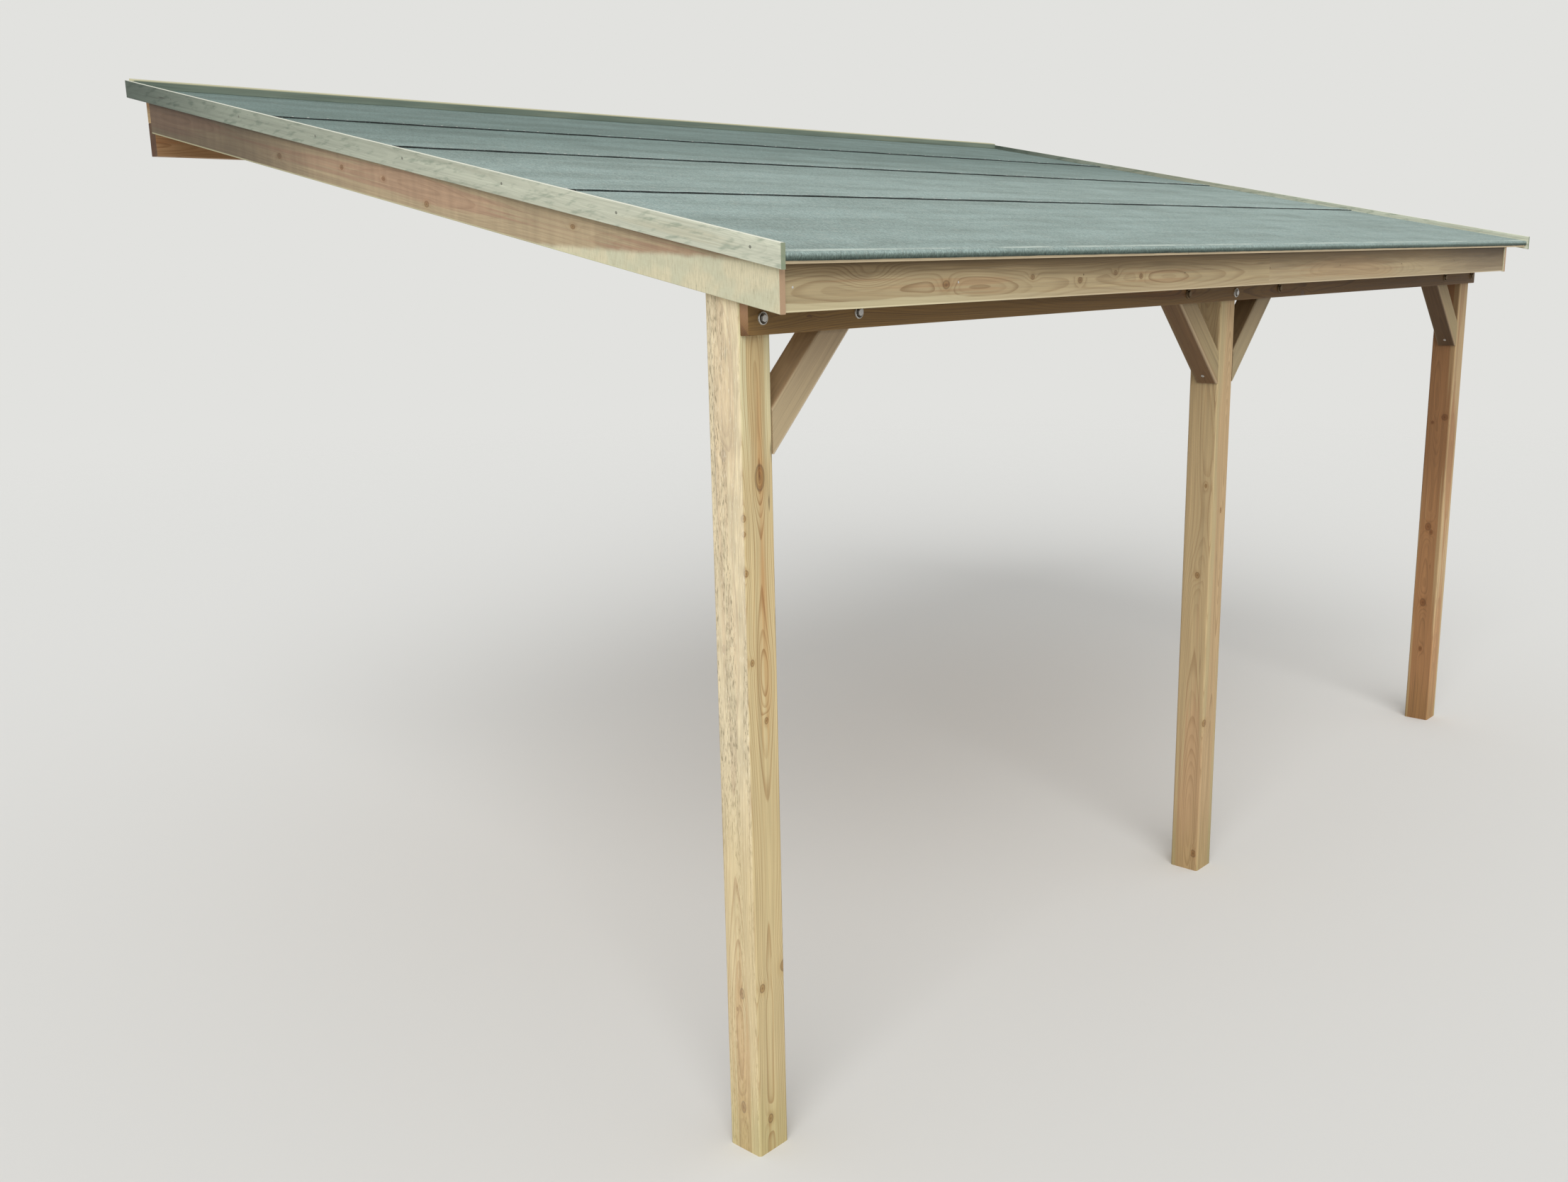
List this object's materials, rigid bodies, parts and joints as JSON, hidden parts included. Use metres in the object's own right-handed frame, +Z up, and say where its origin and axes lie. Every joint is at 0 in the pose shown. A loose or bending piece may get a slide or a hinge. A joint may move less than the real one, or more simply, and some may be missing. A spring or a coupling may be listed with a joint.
{
  "type": "carport",
  "caption": "Lean-to timber carport: felt on a board roof, with rafters from a wall plate to an eave beam on square posts with knee braces.",
  "frame": {"origin": "centre of the wall plate's back face, which lies against the house wall", "axes": "+X along the parking bay from the near post to the far post, +Y into the house wall, +Z up; the ground is at z = -2.9165 m"},
  "size_m": [5.547, 3.259, 3.1321],
  "materials": {
    "posts": "planed pressure-treated pine with rounded arrises",
    "braces": "planed pressure-treated pine",
    "beam": "planed pressure-treated pine",
    "roof_timber": "sawn pressure-treated pine",
    "roof_boards": "sawn pine boards",
    "face_boards": "planed pressure-treated pine, greenish where new",
    "trims": "planed pine, slightly weathered",
    "felt": "bitumen felt with green mineral granules"
  },
  "bodies": {
    "root": {"post_near": "posts", "post_middle": "posts", "post_far": "posts", "brace_near": "braces", "brace_middle_near": "braces", "brace_middle_far": "braces", "brace_far": "braces", "eave_beam_near": "beam", "eave_beam_far": "beam", "wall_plate": "roof_timber", "rafter_1": "roof_timber", "rafter_2": "roof_timber", "rafter_3": "roof_timber", "rafter_4": "roof_timber", "rafter_5": "roof_timber", "rafter_6": "roof_timber", "rafter_7": "roof_timber", "rafter_8": "roof_timber", "rafter_9": "roof_timber", "roof_boards_1": "roof_boards", "roof_boards_2": "roof_boards", "roof_boards_3": "roof_boards", "roof_boards_4": "roof_boards", "roof_felt_1": "felt", "roof_felt_2": "felt", "roof_felt_3": "felt", "roof_felt_4": "felt", "fascia_near": "face_boards", "fascia_far": "face_boards", "barge_board_near": "face_boards", "barge_board_far": "face_boards", "verge_trim_near": "trims", "verge_trim_far": "trims", "wall_batten": "trims"}
  },
  "joints": []
}
